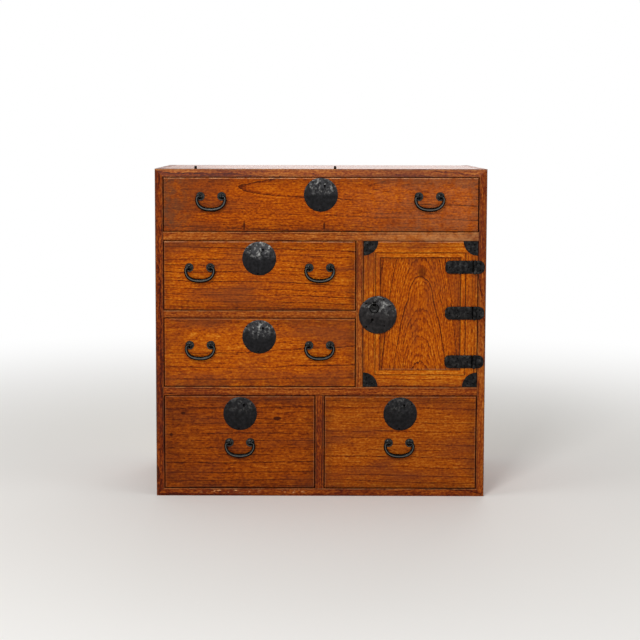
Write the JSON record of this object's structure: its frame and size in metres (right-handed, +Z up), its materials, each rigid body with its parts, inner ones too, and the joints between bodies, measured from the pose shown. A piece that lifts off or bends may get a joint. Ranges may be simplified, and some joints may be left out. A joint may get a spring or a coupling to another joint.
{
  "type": "clothing chest",
  "caption": "Square lacquered wood clothing chest with sliding drawers, a hinged cupboard door, round iron lock plates, swinging bail handles and strap hinges.",
  "frame": {"origin": "centre of the case's underside, on the floor", "axes": "+Z up, the front with the drawers and door faces -Y, +X to the viewer's right"},
  "size_m": [0.87, 0.4417, 0.8775],
  "materials": {
    "front_wood": "orange-amber transparent lacquer over visible grain, satin to gloss, worn at the edges",
    "case_wood": "red-brown lacquer, satin, worn and scratched at the edges",
    "inner_wood": "plain planed paulownia, unfinished, matte",
    "iron": "hammered wrought iron, blackened, satin"
  },
  "bodies": {
    "case": {"left_side": "case_wood", "right_side": "case_wood", "top_board": "case_wood", "bottom_board": "case_wood", "back_boards": "inner_wood", "upper_shelf": "case_wood", "middle_shelf": "case_wood", "lower_shelf": "case_wood", "upper_divider": "case_wood", "lower_divider": "case_wood", "cupboard_shelf": "inner_wood", "drawer_stops": "inner_wood", "top_studs": "iron", "case_hinge_leaves": "iron", "hinge_pins": "iron"},
    "door": {"door_frame": "front_wood", "door_panel": "front_wood", "door_corner_plates": "iron", "door_hinge_leaves": "iron", "door_lock_plate": "iron"},
    "door_lock_bolt": {"door_lock_bolt": "iron"},
    "top_drawer": {"top_drawer_front": "front_wood", "top_drawer_box": "inner_wood", "top_drawer_bottom": "inner_wood", "top_drawer_lock_plate": "iron", "top_drawer_handle_mounts": "iron"},
    "top_drawer_lock_bolt": {"top_drawer_lock_bolt": "iron"},
    "top_drawer_left_handle": {"top_drawer_left_handle": "iron"},
    "top_drawer_right_handle": {"top_drawer_right_handle": "iron"},
    "upper_drawer": {"upper_drawer_front": "front_wood", "upper_drawer_box": "inner_wood", "upper_drawer_bottom": "inner_wood", "upper_drawer_lock_plate": "iron", "upper_drawer_handle_mounts": "iron"},
    "upper_drawer_lock_bolt": {"upper_drawer_lock_bolt": "iron"},
    "upper_drawer_left_handle": {"upper_drawer_left_handle": "iron"},
    "upper_drawer_right_handle": {"upper_drawer_right_handle": "iron"},
    "middle_drawer": {"middle_drawer_front": "front_wood", "middle_drawer_box": "inner_wood", "middle_drawer_bottom": "inner_wood", "middle_drawer_lock_plate": "iron", "middle_drawer_handle_mounts": "iron"},
    "middle_drawer_lock_bolt": {"middle_drawer_lock_bolt": "iron"},
    "middle_drawer_left_handle": {"middle_drawer_left_handle": "iron"},
    "middle_drawer_right_handle": {"middle_drawer_right_handle": "iron"},
    "bottom_left_drawer": {"bottom_left_drawer_front": "front_wood", "bottom_left_drawer_box": "inner_wood", "bottom_left_drawer_bottom": "inner_wood", "bottom_left_drawer_lock_plate": "iron", "bottom_left_drawer_handle_mounts": "iron"},
    "bottom_left_drawer_lock_bolt": {"bottom_left_drawer_lock_bolt": "iron"},
    "bottom_left_drawer_handle": {"bottom_left_drawer_handle": "iron"},
    "bottom_right_drawer": {"bottom_right_drawer_front": "front_wood", "bottom_right_drawer_box": "inner_wood", "bottom_right_drawer_bottom": "inner_wood", "bottom_right_drawer_lock_plate": "iron", "bottom_right_drawer_handle_mounts": "iron"},
    "bottom_right_drawer_lock_bolt": {"bottom_right_drawer_lock_bolt": "iron"},
    "bottom_right_drawer_handle": {"bottom_right_drawer_handle": "iron"}
  },
  "joints": [
    {"name": "door_hinge", "type": "hinge", "parent": "case", "child": "door", "pos_m": [0.405, -0.2198, 0.491], "axis": [0, 0, 1], "range_deg": [0, 170]},
    {"name": "door_lock_bolt_slide", "type": "slide", "parent": "door", "child": "door_lock_bolt", "axis": [-1, 0, 0], "range_m": [0, 0.008]},
    {"name": "top_drawer_slide", "type": "slide", "parent": "case", "child": "top_drawer", "axis": [0, -1, 0], "range_m": [0, 0.33]},
    {"name": "top_drawer_lock_bolt_slide", "type": "slide", "parent": "top_drawer", "child": "top_drawer_lock_bolt", "axis": [0, 0, 1], "range_m": [0, 0.008]},
    {"name": "top_drawer_left_handle_swing", "type": "hinge", "parent": "top_drawer", "child": "top_drawer_left_handle", "pos_m": [-0.288, -0.2215, 0.798], "axis": [-1, 0, 0], "range_deg": [0, 170]},
    {"name": "top_drawer_right_handle_swing", "type": "hinge", "parent": "top_drawer", "child": "top_drawer_right_handle", "pos_m": [0.2846, -0.2215, 0.798], "axis": [-1, 0, 0], "range_deg": [0, 170]},
    {"name": "upper_drawer_slide", "type": "slide", "parent": "case", "child": "upper_drawer", "axis": [0, -1, 0], "range_m": [0, 0.33]},
    {"name": "upper_drawer_lock_bolt_slide", "type": "slide", "parent": "upper_drawer", "child": "upper_drawer_lock_bolt", "axis": [0, 0, 1], "range_m": [0, 0.008]},
    {"name": "upper_drawer_left_handle_swing", "type": "hinge", "parent": "upper_drawer", "child": "upper_drawer_left_handle", "pos_m": [-0.318, -0.2215, 0.6105], "axis": [-1, 0, 0], "range_deg": [0, 170]},
    {"name": "upper_drawer_right_handle_swing", "type": "hinge", "parent": "upper_drawer", "child": "upper_drawer_right_handle", "pos_m": [-0.0024, -0.2215, 0.6105], "axis": [-1, 0, 0], "range_deg": [0, 170]},
    {"name": "middle_drawer_slide", "type": "slide", "parent": "case", "child": "middle_drawer", "axis": [0, -1, 0], "range_m": [0, 0.33]},
    {"name": "middle_drawer_lock_bolt_slide", "type": "slide", "parent": "middle_drawer", "child": "middle_drawer_lock_bolt", "axis": [0, 0, 1], "range_m": [0, 0.008]},
    {"name": "middle_drawer_left_handle_swing", "type": "hinge", "parent": "middle_drawer", "child": "middle_drawer_left_handle", "pos_m": [-0.3174, -0.2215, 0.4045], "axis": [-1, 0, 0], "range_deg": [0, 170]},
    {"name": "middle_drawer_right_handle_swing", "type": "hinge", "parent": "middle_drawer", "child": "middle_drawer_right_handle", "pos_m": [-0.0023, -0.2215, 0.4045], "axis": [-1, 0, 0], "range_deg": [0, 170]},
    {"name": "bottom_left_drawer_slide", "type": "slide", "parent": "case", "child": "bottom_left_drawer", "axis": [0, -1, 0], "range_m": [0, 0.33]},
    {"name": "bottom_left_drawer_lock_bolt_slide", "type": "slide", "parent": "bottom_left_drawer", "child": "bottom_left_drawer_lock_bolt", "axis": [0, 0, 1], "range_m": [0, 0.008]},
    {"name": "bottom_left_drawer_handle_swing", "type": "hinge", "parent": "bottom_left_drawer", "child": "bottom_left_drawer_handle", "pos_m": [-0.2134, -0.2215, 0.1439], "axis": [-1, 0, 0], "range_deg": [0, 170]},
    {"name": "bottom_right_drawer_slide", "type": "slide", "parent": "case", "child": "bottom_right_drawer", "axis": [0, -1, 0], "range_m": [0, 0.33]},
    {"name": "bottom_right_drawer_lock_bolt_slide", "type": "slide", "parent": "bottom_right_drawer", "child": "bottom_right_drawer_lock_bolt", "axis": [0, 0, 1], "range_m": [0, 0.008]},
    {"name": "bottom_right_drawer_handle_swing", "type": "hinge", "parent": "bottom_right_drawer", "child": "bottom_right_drawer_handle", "pos_m": [0.2094, -0.2215, 0.1439], "axis": [-1, 0, 0], "range_deg": [0, 170]}
  ]
}
